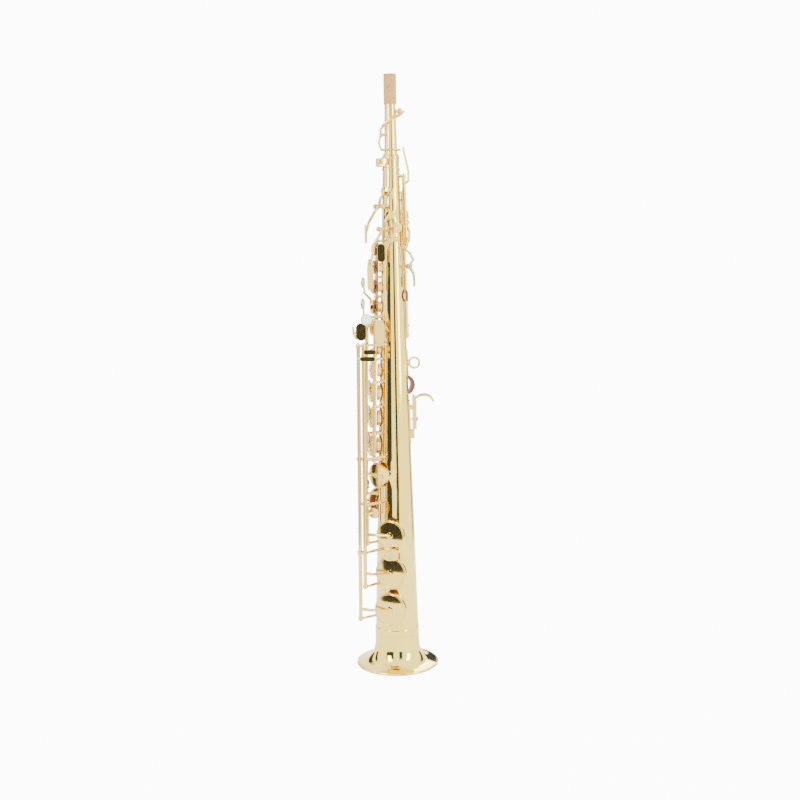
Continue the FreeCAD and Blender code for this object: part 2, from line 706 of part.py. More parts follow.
def make_neck_fittings():
    """Octave vent pipe and the two pillars that carry the neck key."""
    fittings = []
    pipe = turned([(0.8, -1.0), (2.0, -1.0), (2.0, 1.95), (0.8, 1.95)], vent_seat)
    fittings.append(pipe)
    for side in (-1, 1):
        p = NECK_PIVOT + V(0, side * 5.4, 0)
        foot = V(-4.2, side * 3.8, 587)
        ball = Part.makeSphere(2.2, p)
        slab = cylinder(p - V(0, BALL_HALF, 0), p + V(0, BALL_HALF, 0), 4)
        stem = bar([foot, p], [1.5, 1.2])
        solid = fused([stem, ball.common(slab)])
        fittings.append(solid.cut(cylinder(p - V(0, 9, 0), p + V(0, 9, 0), ROD_R)))
    skin = Part.makeCone(neck_radius(567), neck_radius(CORK_BOTTOM), NECK_LEN, V(0, 0, 567))
    rod = cylinder(NECK_PIVOT - V(0, 7.4, 0), NECK_PIVOT + V(0, 7.4, 0), ROD_R)
    return [f.cut(skin) for f in fittings] + [rod]


# ---- player's side: strap ring, thumb rests and hook ----
STRAP_AZ = 352
STRAP_Z = 342
STRAP_R = 5.7
STRAP_WIRE = 1.3
PLATE_H = 1.0


def skin_patch(z_low, z_high, az, width, thick, taper=0.0):
    """A plate bent to the tube, cut from a shell over it."""
    shell = tube_cone(thick).cut(tube_cone(0))
    half = width / 2
    outline = [V(-half, z_low, 0), V(half, z_low, 0), V(half - taper, z_high, 0),
               V(-half + taper, z_high, 0), V(-half, z_low, 0)]
    block = Part.Face(Part.makePolygon(outline)).extrude(V(0, 0, 60))
    block = block.makeFillet(1.4, [e for e in block.Edges
                                   if abs(e.Vertexes[0].Z - e.Vertexes[-1].Z) > 30])
    where = axes(V(0, 0, 0), tangent(az), radial(az))
    return shell.common(placed(block, where))


def make_strap_ring():
    centre = at(STRAP_Z, STRAP_AZ, tube_radius(STRAP_Z) + PLATE_H + STRAP_R + 0.9)
    return Part.makeTorus(STRAP_R, STRAP_WIRE, centre, tangent(STRAP_AZ))


def make_strap_plate():
    patch = skin_patch(328, 356, STRAP_AZ, 14, PLATE_H, 2.6)
    low = tube_radius(STRAP_Z) - 1
    collar = cylinder(at(STRAP_Z, STRAP_AZ, low), at(STRAP_Z, STRAP_AZ, low + 4.2), 2.4)
    solid = patch.fuse(collar.cut(tube_cone(0)))
    return solid.cut(make_strap_ring())


HOOK_AZ = 2
BAR_RHO = 20.0
BAR_T = 2.0
BAR_W = 8.0
BAR_LOW = 258
BAR_TOP = 306
HOOK_SCREW_Z = 279
HOOK_T = 2.4
HOOK_TRAVEL = 8.0
HOOK_REACH = 43.0


def radial_box(az, rho, z, depth, width, height):
    where = axes(at(z, az, rho), tangent(az), UP)
    return placed(Part.makeBox(width, depth, height, V(-width / 2, -depth, 0)), where)


def make_hook_bracket():
    """Upright bar held off the tube on two feet, tapped for the hook's screw."""
    upright = radial_box(HOOK_AZ, BAR_RHO, BAR_LOW, BAR_T, BAR_W, BAR_TOP - BAR_LOW)
    feet = [radial_box(HOOK_AZ, 12, BAR_LOW, BAR_RHO - 12 + 0.5, BAR_W, 9),
            radial_box(HOOK_AZ, 12, 290, BAR_RHO - 12 + 0.5, BAR_W, 4)]
    base = skin_patch(252, 300, HOOK_AZ, 13, 0.9, 2.0)
    solid = fused([upright] + [f.cut(tube_cone(0)) for f in feet] + [base])
    bore = cylinder(at(HOOK_SCREW_Z, HOOK_AZ, 17), at(HOOK_SCREW_Z, HOOK_AZ, 30), 1.25)
    return solid.cut(bore)


def make_thumb_hook():
    """Sliding plate with a slot, and the curved hook that rests on the thumb."""
    face = BAR_RHO + BAR_T + 0.08
    back = radial_box(HOOK_AZ, face, 268, HOOK_T, BAR_W, 36)
    slot_low, slot_high = HOOK_SCREW_Z - HOOK_TRAVEL / 2, HOOK_SCREW_Z + HOOK_TRAVEL / 2
    slot = radial_box(HOOK_AZ, face - 1, slot_low, 5, 2.9, slot_high - slot_low)
    ends = [cylinder(at(z, HOOK_AZ, face - 1), at(z, HOOK_AZ, face + 4), 1.45)
            for z in (slot_low, slot_high)]
    solids = [back]
    path = [(face + HOOK_T / 2, 302.6), (28, 305.2), (34, 306.0), (39.5, 304.2), (HOOK_REACH, 299.5)]
    for i in range(len(path) - 1):
        (ra, za), (rb, zb) = path[i], path[i + 1]
        a, b = at(za, HOOK_AZ, ra), at(zb, HOOK_AZ, rb)
        where = axes(a, tangent(HOOK_AZ), b - a)
        size = (b - a).Length
        solids.append(placed(Part.makeBox(BAR_W, HOOK_T, size, V(-BAR_W / 2, -HOOK_T / 2, 0)),
                             where))
    side = tangent(HOOK_AZ) * (BAR_W / 2)
    for rho, z in path:
        p = at(z, HOOK_AZ, rho)
        solids.append(cylinder(p - side, p + side, HOOK_T / 2))
    solid = fused(solids).cut(slot)
    return solid.cut(ends)


def make_hook_screw():
    face = BAR_RHO + BAR_T + 0.08 + HOOK_T
    shaft = cylinder(at(HOOK_SCREW_Z, HOOK_AZ, BAR_RHO - 1.6),
                     at(HOOK_SCREW_Z, HOOK_AZ, face + 0.1), 1.2)
    head = turned([(0, 0.05), (2.6, 0.05), (2.6, 1.4), (2.0, 2.0), (0, 2.0)],
                  axes(at(HOOK_SCREW_Z, HOOK_AZ, face), tangent(HOOK_AZ), radial(HOOK_AZ)))
    slot = radial_box(HOOK_AZ, face + 1.3, HOOK_SCREW_Z - 0.3, 2, 6, 0.6)
    return shaft.fuse(head).cut(slot)


BOW_LOW = 306
BOW_HIGH = 328
BOW_AZ = 14
BOW_RISE = 8.4
BOW_WIDTH = 7.0
BOW_THICK = 4.4
BOW_TIP = 2.0


def make_thumb_bow():
    """Moulded crescent above the hook, bridging the tube like a handle."""
    half = (BOW_HIGH - BOW_LOW) / 2
    middle = (BOW_HIGH + BOW_LOW) / 2
    outer = (half * half + BOW_RISE * BOW_RISE) / (2 * BOW_RISE)
    inner = outer - BOW_TIP
    rho = tube_radius(middle) - 1.0 + BOW_RISE - outer
    centre = at(middle, BOW_AZ, rho)
    inner_centre = at(middle, BOW_AZ, rho - (BOW_THICK - BOW_TIP))
    side = tangent(BOW_AZ) * (BOW_WIDTH / 2)
    disc = cylinder(centre - side, centre + side, outer)
    crescent = disc.cut(cylinder(inner_centre - side * 1.2, inner_centre + side * 1.2, inner))
    keep_out = Part.makeCylinder(tube_radius(middle) - 3, BOW_HIGH - BOW_LOW + 40,
                                 V(0, 0, BOW_LOW - 20))
    return crescent.cut(tube_cone(0)).cut(keep_out)


REST_Z = 415
REST_AZ = 355


def make_thumb_rest():
    return turned([(0, 1.6), (6.4, 1.6), (6.5, 2.4)] + dome(5.6, 3.6, 0.7), seat(REST_Z, REST_AZ))


def make_thumb_rest_base():
    base = turned([(0, -2), (4.4, -2), (4.4, 1.6), (0, 1.6)], seat(REST_Z, REST_AZ))
    return base.cut(tube_cone(0))


# ---- guard over the bell keys, with its felts ----
GUARD_Z = 135.0
GUARD_AZ = 262
GUARD_H = 17.5


def make_guard():
    stems = []
    for shift in (-6, 6):
        az = GUARD_AZ + math.degrees(shift / tube_radius(GUARD_Z))
        foot = above(GUARD_Z, az, -1)
        top = local(GUARD_Z, GUARD_AZ, shift * 0.9, 0, GUARD_H)
        stems.append(bar([foot, top], [1.5, 1.2]))
    wing = plate(seat(GUARD_Z, GUARD_AZ).multiply(
        FreeCAD.Placement(V(0, 0, GUARD_H), FreeCAD.Rotation())), 16, 13, 1.4, 5.0)
    return fused(stems + [wing]).cut(tube_cone(0))


def make_guard_felts():
    felts = []
    for shift in (-4.4, 4.4):
        start = local(GUARD_Z, GUARD_AZ, 0, shift, GUARD_H)
        end = local(GUARD_Z, GUARD_AZ, 0, shift, GUARD_H - 1.6)
        felts.append(cylinder(start, end, 1.9))
    return felts


# ---- needle springs ----
SPRING_R = 0.3
SPRING_OFF = 3.7
SPRINGS = ((lower_line, 265.5, 24), (lower_line, 295, 24), (lower_line, 322, 22),
           (lower_line, 347.5, 22), (upper_line, 392, 19), (upper_line, 414, 18),
           (upper_line, 435.5, 17), (upper_line, 456, 16), (upper_line, 474.5, 15))


def make_springs():
    """Blued steel needles, each driven into a post and running beside its rod."""
    needles = []
    for line, z, length in SPRINGS:
        top = line.point(z)
        inward = V(-top.x, -top.y, 0).normalize()
        start = top + inward * SPRING_OFF
        end = start - line.along * length
        needles.append(cylinder(start, end, SPRING_R))
    return needles


# ---- write the parts ----
def write(name, shape):
    if isinstance(shape, list):
        shape = Part.makeCompound(shape)
    shape.exportStep("parts/" + name + ".step")
    PARTS[name] = shape


PARTS = {}
PAD_NODES = ("low_b_flat_key", "low_b_key", "low_c_key", "low_c_sharp_key", "e_flat_key",
             "d_key", "e_key", "f_key")

os.makedirs("parts", exist_ok=True)
write("body_tube", make_body_tube())
write("bell", make_bell())
write("bell_ferrule", make_ferrule())
springs = make_springs()
write("key_posts", [max(p.cut(springs).Solids, key=lambda solid: solid.Volume)
                    for p in make_posts()])
write("hinge_rods", make_rods())
write("needle_springs", springs)
write("neck_receiver", make_receiver())
write("neck_clamp_screw", make_clamp_screw())
write("neck_tube", make_neck())
write("neck_fittings", make_neck_fittings())
write("neck_cork", turned([(CORK_CORE_R, CORK_BOTTOM), (CORK_R, CORK_BOTTOM), (CORK_R, HEIGHT),
                           (CORK_CORE_R, HEIGHT)]))
write("strap_plate", make_strap_plate())
write("strap_ring", make_strap_ring())
write("thumb_hook_bracket", make_hook_bracket())
write("thumb_hook", make_thumb_hook())
write("thumb_hook_screw", make_hook_screw())
write("thumb_bow", make_thumb_bow())
write("thumb_rest", make_thumb_rest())
write("thumb_rest_base", make_thumb_rest_base())
write("bell_key_guard", make_guard())
write("guard_felts", make_guard_felts())
for key in KEYS:
    write(key.name, key.body())
    if key.name in PAD_NODES:
        write(key.name.replace("_key", "_pad"), key.opened(key.pads[0]))
    for button in key.pearls:
        write(key.name.replace("_key", "_pearl"), key.opened(button))
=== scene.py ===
import json
import math
import bpy
from mathutils import Matrix, Vector


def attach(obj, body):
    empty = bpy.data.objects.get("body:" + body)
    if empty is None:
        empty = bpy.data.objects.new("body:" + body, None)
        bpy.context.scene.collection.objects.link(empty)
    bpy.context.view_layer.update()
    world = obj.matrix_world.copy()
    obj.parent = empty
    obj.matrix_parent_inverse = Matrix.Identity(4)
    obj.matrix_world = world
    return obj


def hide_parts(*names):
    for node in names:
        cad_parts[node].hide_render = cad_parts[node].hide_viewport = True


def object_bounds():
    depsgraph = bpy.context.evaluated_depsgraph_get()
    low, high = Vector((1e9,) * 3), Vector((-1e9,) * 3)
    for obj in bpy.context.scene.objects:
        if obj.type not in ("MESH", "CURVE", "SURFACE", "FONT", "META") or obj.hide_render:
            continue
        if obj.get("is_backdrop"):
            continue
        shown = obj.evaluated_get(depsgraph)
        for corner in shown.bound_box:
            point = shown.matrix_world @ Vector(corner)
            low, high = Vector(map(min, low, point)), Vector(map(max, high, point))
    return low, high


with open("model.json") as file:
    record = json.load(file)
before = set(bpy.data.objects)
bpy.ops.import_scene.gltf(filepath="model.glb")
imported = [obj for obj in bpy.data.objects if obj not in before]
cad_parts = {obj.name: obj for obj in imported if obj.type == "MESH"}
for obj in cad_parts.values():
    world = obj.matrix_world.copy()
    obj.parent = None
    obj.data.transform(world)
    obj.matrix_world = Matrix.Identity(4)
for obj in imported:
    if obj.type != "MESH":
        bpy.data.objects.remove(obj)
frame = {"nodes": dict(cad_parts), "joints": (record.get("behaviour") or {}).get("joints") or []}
cad_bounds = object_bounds()

# ---------------------------------------------------------------------------
# Stage: a pale matt floor under the bell, in a bright studio of white screens.
# The dark upright gaps between them draw crisp lines in the polished brass,
# and three soft boxes light it from the left, the right and behind.
# ---------------------------------------------------------------------------


def linear(code):
    """Linear colour of an sRGB hex value, opaque."""
    parts = [int(code[i:i + 2], 16) / 255 for i in (1, 3, 5)]
    bright = [p / 12.92 if p <= 0.04045 else ((p + 0.055) / 1.055) ** 2.4 for p in parts]
    return (*bright, 1.0)


def add_node(tree, kind, links=(), **settings):
    """Add a shader node; links are (input, socket) pairs and settings its own values."""
    node = tree.nodes.new(kind)
    for name, value in settings.items():
        if name.startswith("in_"):
            key = name[3:]
            key = int(key) if key.isdigit() else key.replace("_", " ")
            node.inputs[key].default_value = value
        else:
            setattr(node, name, value)
    for name, socket in links:
        tree.links.new(socket, node.inputs[name])
    return node


def new_material(name, base, metallic=0.0, roughness=0.5, **values):
    """A node material with its shader's own sockets set."""
    mat = bpy.data.materials.new(name)
    mat.use_nodes = True
    shader = mat.node_tree.nodes["Principled BSDF"]
    shader.inputs["Base Color"].default_value = linear(base)
    shader.inputs["Metallic"].default_value = metallic
    shader.inputs["Roughness"].default_value = roughness
    for key, value in values.items():
        shader.inputs[key.replace("_", " ")].default_value = value
    return mat, mat.node_tree, shader


WHITE = (1, 1, 1, 1)
FLOOR_R = 0.62                  # metres
FLOOR_GLOW = 9.0                # keeps the floor white where it is looked at directly
PAINT_MOTTLE_MM = 1000 / 3      # three faint patches in a metre

# Matt emulsion: an even white that a faint mottling keeps from looking dead.
floor_paint, tree, shader = new_material("matt_studio_paint", "#f6f6f5", roughness=0.8)
where = add_node(tree, "ShaderNodeTexCoord")
mottle = add_node(tree, "ShaderNodeTexNoise", [("Vector", where.outputs["Object"])],
                  in_Scale=1000 / PAINT_MOTTLE_MM)
tone = add_node(tree, "ShaderNodeMix", [("Factor", mottle.outputs["Fac"])], data_type="RGBA")
tone.inputs[6].default_value = linear("#f4f4f3")
tone.inputs[7].default_value = linear("#fafaf9")
tree.links.new(tone.outputs[2], shader.inputs["Base Color"])

glow = add_node(tree, "ShaderNodeLightPath")
lift = add_node(tree, "ShaderNodeMapRange", [("Value", glow.outputs["Is Camera Ray"])])
lift.inputs["To Max"].default_value = FLOOR_GLOW
shader.inputs["Emission Color"].default_value = WHITE
tree.links.new(lift.outputs[0], shader.inputs["Emission Strength"])

bpy.ops.object.select_all(action="DESELECT")
bpy.ops.mesh.primitive_circle_add(vertices=96, radius=FLOOR_R, fill_type="NGON",
                                  location=(0, 0, 0))
floor = bpy.context.object
floor.name = "studio_floor"
floor.data.materials.append(floor_paint)
floor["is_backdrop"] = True

BACKDROP = 12.0                 # strength of the screens as the camera sees them
STUDIO = 2.95                   # and as the brass reflects them
# azimuth and half width of each gap between the screens, in degrees
DARK_GAPS = ((40, 6), (78, 14), (128, 8), (157, 6), (232.5, 17.5), (286, 7))
GAP_TINT = "#2e2f39"
EDGE_DEG = 1.5
CEILING = (0.55, 0.75)          # sines of the slopes between which the gaps fade out
world = bpy.data.worlds.new("bright_studio")
bpy.context.scene.world = world
world.use_nodes = True
tree = world.node_tree
back = tree.nodes["Background"]
way = add_node(tree, "ShaderNodeTexCoord")
split = add_node(tree, "ShaderNodeSeparateXYZ", [("Vector", way.outputs["Generated"])])
turn = add_node(tree, "ShaderNodeMath", [(0, split.outputs["Y"]), (1, split.outputs["X"])],
                operation="ARCTAN2")
share = add_node(tree, "ShaderNodeMapRange", [("Value", turn.outputs[0])])
share.inputs["From Min"].default_value = -math.pi
share.inputs["From Max"].default_value = math.pi
gaps = add_node(tree, "ShaderNodeValToRGB", [("Fac", share.outputs[0])])
stops = gaps.color_ramp.elements
for stop in stops:
    stop.color = WHITE
for centre, half in DARK_GAPS:
    middle = ((centre + 180) % 360) / 360
    for offset, colour in ((-half - EDGE_DEG, WHITE), (-half, linear(GAP_TINT)),
                           (half, linear(GAP_TINT)), (half + EDGE_DEG, WHITE)):
        stop = stops.new(middle + offset / 360)
        stop.color = colour
overhead = add_node(tree, "ShaderNodeMapRange", [("Value", split.outputs["Z"])])
overhead.inputs["From Min"].default_value = CEILING[0]
overhead.inputs["From Max"].default_value = CEILING[1]
lit = add_node(tree, "ShaderNodeMix", [("Factor", overhead.outputs[0])], data_type="RGBA")
tree.links.new(gaps.outputs["Color"], lit.inputs[6])
lit.inputs[7].default_value = WHITE
seen = add_node(tree, "ShaderNodeLightPath")
strength = add_node(tree, "ShaderNodeMapRange", [("Value", seen.outputs["Is Camera Ray"])])
strength.inputs["To Min"].default_value = STUDIO
strength.inputs["To Max"].default_value = BACKDROP
plain = add_node(tree, "ShaderNodeMix", [("Factor", seen.outputs["Is Camera Ray"])],
                 data_type="RGBA")
tree.links.new(lit.outputs[2], plain.inputs[6])
plain.inputs[7].default_value = WHITE
tree.links.new(plain.outputs[2], back.inputs["Color"])
tree.links.new(strength.outputs[0], back.inputs["Strength"])

# name, place, point aimed at, width and height in metres, power in watts
SOFT_BOXES = (
    ("key_light", (-1.1, -1.3, 1.2), (0, 0, 0.33), 0.5, 1.3, 30),
    ("fill_light", (1.3, -0.9, 0.8), (0, 0, 0.33), 0.4, 1.3, 18),
    ("rim_light", (0.4, 1.4, 1.1), (0, 0, 0.4), 0.8, 0.8, 18),
)
for name, place, aim, width, height, power in SOFT_BOXES:
    bpy.ops.object.light_add(type="AREA", location=place)
    lamp = bpy.context.object
    lamp.name = name
    lamp.data.shape = "RECTANGLE"
    lamp.data.size = width
    lamp.data.size_y = height
    lamp.data.energy = power
    lamp.rotation_euler = (Vector(aim) - Vector(place)).to_track_quat("-Z", "Y").to_euler()

LENS_MM = 53.6
SENSOR_MM = 36.0
EYE = Vector((0.0065, -1.3005, 0.4806))         # metres
PITCH = math.radians(7.89)
ROLL = math.radians(0.75)
bpy.ops.object.camera_add(location=EYE)
camera = bpy.context.object
camera.name = "camera"
camera.data.lens = LENS_MM
camera.data.sensor_width = SENSOR_MM
camera.matrix_world = (Matrix.Translation(EYE) @ Matrix.Rotation(math.pi / 2 - PITCH, 4, "X")
                       @ Matrix.Rotation(-ROLL, 4, "Z"))
bpy.context.scene.camera = camera

# ---------------------------------------------------------------------------
# Brass body: drawn tube, hammered bell and soldered fittings, polished and
# sprayed with clear lacquer, which gives a pale gold with a wet, even gloss.
# ---------------------------------------------------------------------------
LACQUER_CLOUD_MM = 40.0
LACQUER_HAZE_MM = 9.0
HAZE_RANGE = (0.3, 0.7)         # the middle of the noise, where most of it lies
GLOSS_SWING = 0.3               # share by which the haze changes the roughness


def brass(name, light, deep, rough):
    """Polished yellow brass under clear lacquer, with slight clouding of tone and gloss."""
    mat, tree, shader = new_material(name, light, metallic=1.0, roughness=rough,
                                     Coat_Weight=0.6, Coat_Roughness=0.03)
    where = add_node(tree, "ShaderNodeTexCoord")
    cloud = add_node(tree, "ShaderNodeTexNoise", [("Vector", where.outputs["Object"])],
                     in_Scale=1000 / LACQUER_CLOUD_MM, in_Detail=3.0)
    tone = add_node(tree, "ShaderNodeMix", [("Factor", cloud.outputs["Fac"])], data_type="RGBA")
    tone.inputs[6].default_value = linear(deep)
    tone.inputs[7].default_value = linear(light)
    tree.links.new(tone.outputs[2], shader.inputs["Base Color"])
    haze = add_node(tree, "ShaderNodeTexNoise", [("Vector", where.outputs["Object"])],
                    in_Scale=1000 / LACQUER_HAZE_MM, in_Detail=4.0)
    gloss = add_node(tree, "ShaderNodeMapRange", [("Value", haze.outputs["Fac"])])
    gloss.inputs["From Min"].default_value = HAZE_RANGE[0]
    gloss.inputs["From Max"].default_value = HAZE_RANGE[1]
    gloss.inputs["To Min"].default_value = rough * (1 - GLOSS_SWING)
    gloss.inputs["To Max"].default_value = rough * (1 + GLOSS_SWING)
    tree.links.new(gloss.outputs[0], shader.inputs["Roughness"])
    return mat


nodes = frame["nodes"]


def finish_node(name, mat):
    """Give a CAD node's slots a material."""
    mesh = nodes[name].data
    if not mesh.materials:
        mesh.materials.append(mat)
    for i in range(len(mesh.materials)):
        mesh.materials[i] = mat


body_brass = brass("lacquered_brass_body", "#f5da6e", "#ebc954", 0.09)
key_brass = brass("lacquered_brass_keys", "#f4d66e", "#e4bd55", 0.08)
for name in ("body_tube", "bell", "bell_ferrule", "neck_receiver", "neck_tube"):
    finish_node(name, body_brass)
for name in nodes:
    if name.endswith(("_key", "_link", "_lever")):
        finish_node(name, key_brass)
for name in ("key_posts", "strap_plate", "strap_ring", "thumb_hook_bracket", "thumb_hook",
             "thumb_rest_base", "bell_key_guard", "neck_fittings", "neck_clamp_screw"):
    finish_node(name, key_brass)

# ---------------------------------------------------------------------------
# Steel: hinge rods and screws ground to size, which leaves a grey, finely
# streaked shine, and needle springs that tempering has turned dark blue.
# ---------------------------------------------------------------------------
GRIND_MM = 0.4                  # real marks are finer; these are coarse enough to show


def steel(name, light, rough):
    """Bare steel with a grain of fine marks from the grinding wheel."""
    mat, tree, shader = new_material(name, light, metallic=1.0, roughness=rough)
    where = add_node(tree, "ShaderNodeTexCoord")
    grind = add_node(tree, "ShaderNodeTexNoise", [("Vector", where.outputs["Object"])],
                     in_Scale=1000 / GRIND_MM, in_Detail=2.0)
    lift = add_node(tree, "ShaderNodeBump", [("Height", grind.outputs["Fac"])],
                    in_Strength=0.08, in_Distance=0.0001)
    tree.links.new(lift.outputs["Normal"], shader.inputs["Normal"])
    return mat


ground_steel = steel("ground_steel", "#c9c8c4", 0.22)
blued_steel = steel("blued_steel", "#3a4258", 0.3)
finish_node("hinge_rods", ground_steel)
finish_node("thumb_hook_screw", ground_steel)
finish_node("needle_springs", blued_steel)

# ---------------------------------------------------------------------------
# Neck cork: sheet cork glued round the neck and sanded, warm pinkish tan with
# short dark pores, dry and matt.
# ---------------------------------------------------------------------------
CORK_GRAIN_MM = 1.1
CORK_PORE_MM = 2.2
PORE_RANGE = (0.14, 0.34)       # where a pore fades out, as shares of its cell
cork, tree, shader = new_material("sanded_sheet_cork", "#cc9a68", roughness=0.85)
where = add_node(tree, "ShaderNodeTexCoord")
grain = add_node(tree, "ShaderNodeTexNoise", [("Vector", where.outputs["Object"])],
                 in_Scale=1000 / CORK_GRAIN_MM, in_Detail=3.0)
tone = add_node(tree, "ShaderNodeMix", [("Factor", grain.outputs["Fac"])], data_type="RGBA")
tone.inputs[6].default_value = linear("#b57c3e")
tone.inputs[7].default_value = linear("#dba868")
cells = add_node(tree, "ShaderNodeTexVoronoi", [("Vector", where.outputs["Object"])],
                 in_Scale=1000 / CORK_PORE_MM)
pores = add_node(tree, "ShaderNodeMapRange", [("Value", cells.outputs["Distance"])])
pores.inputs["From Min"].default_value = PORE_RANGE[0]
pores.inputs["From Max"].default_value = PORE_RANGE[1]
speckled = add_node(tree, "ShaderNodeMix", [("Factor", pores.outputs[0])], data_type="RGBA")
speckled.inputs[6].default_value = linear("#54331a")
tree.links.new(tone.outputs[2], speckled.inputs[7])
tree.links.new(speckled.outputs[2], shader.inputs["Base Color"])
lift = add_node(tree, "ShaderNodeBump", [("Height", pores.outputs[0])], in_Strength=0.5,
                in_Distance=0.0002)
tree.links.new(lift.outputs["Normal"], shader.inputs["Normal"])
finish_node("neck_cork", cork)

# ---------------------------------------------------------------------------
# Pearl buttons: discs cut from shell and polished, milky white with a faint
# green and pink play under a clear gloss.
# ---------------------------------------------------------------------------
SHELL_BAND_MM = 3.5
SHELL_TINTS = ((0.3, "#e9f3ee"), (0.5, "#fffefa"), (0.7, "#fdf0f2"))
pearl, tree, shader = new_material("mother_of_pearl", "#f1efe8", roughness=0.16, Coat_Weight=0.8,
                                   Coat_Roughness=0.03)
where = add_node(tree, "ShaderNodeTexCoord")
waves = add_node(tree, "ShaderNodeTexNoise", [("Vector", where.outputs["Object"])],
                 in_Scale=1000 / SHELL_BAND_MM, in_Detail=2.0, in_Distortion=1.5)
play = add_node(tree, "ShaderNodeValToRGB", [("Fac", waves.outputs["Fac"])])
bands = play.color_ramp.elements
bands.new(0.5)
for band, (position, code) in zip(bands, SHELL_TINTS):
    band.position = position
    band.color = linear(code)
tree.links.new(play.outputs["Color"], shader.inputs["Base Color"])
for name in nodes:
    if name.endswith("_pearl"):
        finish_node(name, pearl)

# ---------------------------------------------------------------------------
# Brown plastic: left thumb rest and the bow over the thumb hook, moulded and
# glossy, a deep red-brown.
# ---------------------------------------------------------------------------
MOULD_FLOW_MM = 5.0
brown_plastic, tree, shader = new_material("moulded_brown_abs", "#5c2417", roughness=0.22,
                                           Coat_Weight=0.3, Coat_Roughness=0.08)
where = add_node(tree, "ShaderNodeTexCoord")
flow = add_node(tree, "ShaderNodeTexNoise", [("Vector", where.outputs["Object"])],
                in_Scale=1000 / MOULD_FLOW_MM, in_Detail=2.0)
tone = add_node(tree, "ShaderNodeMix", [("Factor", flow.outputs["Fac"])], data_type="RGBA")
tone.inputs[6].default_value = linear("#4e1a10")
tone.inputs[7].default_value = linear("#743020")
tree.links.new(tone.outputs[2], shader.inputs["Base Color"])
finish_node("thumb_rest", brown_plastic)
finish_node("thumb_bow", brown_plastic)

# ---------------------------------------------------------------------------
# Felts: bumpers of dense pressed wool under the guard, which stop the cups
# without noise. They are dark, with no shine but a pale fuzz at the edges.
# ---------------------------------------------------------------------------
FELT_FIBRE_MM = 0.35            # a tuft, because one fibre is too fine to show
felt, tree, shader = new_material("bumper_felt", "#4a3228", roughness=0.95, Sheen_Weight=0.5,
                                  Sheen_Roughness=0.6)
where = add_node(tree, "ShaderNodeTexCoord")
fibre = add_node(tree, "ShaderNodeTexNoise", [("Vector", where.outputs["Object"])],
                 in_Scale=1000 / FELT_FIBRE_MM, in_Detail=5.0)
tone = add_node(tree, "ShaderNodeMix", [("Factor", fibre.outputs["Fac"])], data_type="RGBA")
tone.inputs[6].default_value = linear("#37241c")
tone.inputs[7].default_value = linear("#664a3c")
tree.links.new(tone.outputs[2], shader.inputs["Base Color"])
lift = add_node(tree, "ShaderNodeBump", [("Height", fibre.outputs["Fac"])], in_Strength=0.5,
                in_Distance=0.0002)
tree.links.new(lift.outputs["Normal"], shader.inputs["Normal"])
finish_node("guard_felts", felt)

# ---------------------------------------------------------------------------
# Pads: a felt disc in brown leather with a domed brass resonator riveted in
# its middle, glued into each key cup. The rim of the tone hole leaves a ring.
# ---------------------------------------------------------------------------
MM = 0.001                      # sizes from here on are in millimetres
TUBE_R0 = 25.4                  # radius of the tube's cone, carried down to the floor
TAPER = 0.030
CHIMNEY = 2.6                   # height of a drawn tone hole
SEAT_GAP = 0.15
PAD_THICK = 3.2
PAD_FIT = 0.05                  # gap between pad and cup
PAD_RING_DEPTH = 0.12           # ring that the tone hole presses in the leather
CUP_WALL = 0.8
RESONATOR_SHARE = 0.62          # of the tone hole's radius
LEAST_HOLE_FOR_RESONATOR = 3
LEATHER_GRAIN_MM = 0.5
LEATHER_STAIN_MM = 25 / 3       # three patches in 25 mm

# Thin kid leather, dyed and satin: brown with a soft mottling and a small grain.
leather, tree, shader = new_material("pad_leather", "#6f3d22", roughness=0.5)
where = add_node(tree, "ShaderNodeTexCoord")
stain = add_node(tree, "ShaderNodeTexNoise", [("Vector", where.outputs["Object"])],
                 in_Scale=1000 / LEATHER_STAIN_MM, in_Detail=3.0)
tone = add_node(tree, "ShaderNodeMix", [("Factor", stain.outputs["Fac"])], data_type="RGBA")
tone.inputs[6].default_value = linear("#6b3514")
tone.inputs[7].default_value = linear("#9c5a2c")
tree.links.new(tone.outputs[2], shader.inputs["Base Color"])
grain = add_node(tree, "ShaderNodeTexVoronoi", [("Vector", where.outputs["Object"])],
                 in_Scale=1000 / LEATHER_GRAIN_MM)
lift = add_node(tree, "ShaderNodeBump", [("Height", grain.outputs["Distance"])], in_Strength=0.25,
                in_Distance=0.0001)
tree.links.new(lift.outputs["Normal"], shader.inputs["Normal"])

JOINT_OF = {j["child"]: j for j in frame["joints"]}
OPEN_KEYS = ("low_b_flat_key", "low_b_key", "low_c_key", "low_c_sharp_key", "d_key", "e_key",
             "f_key", "f_sharp_key", "g_key", "a_key", "bis_key", "b_key", "c_key")
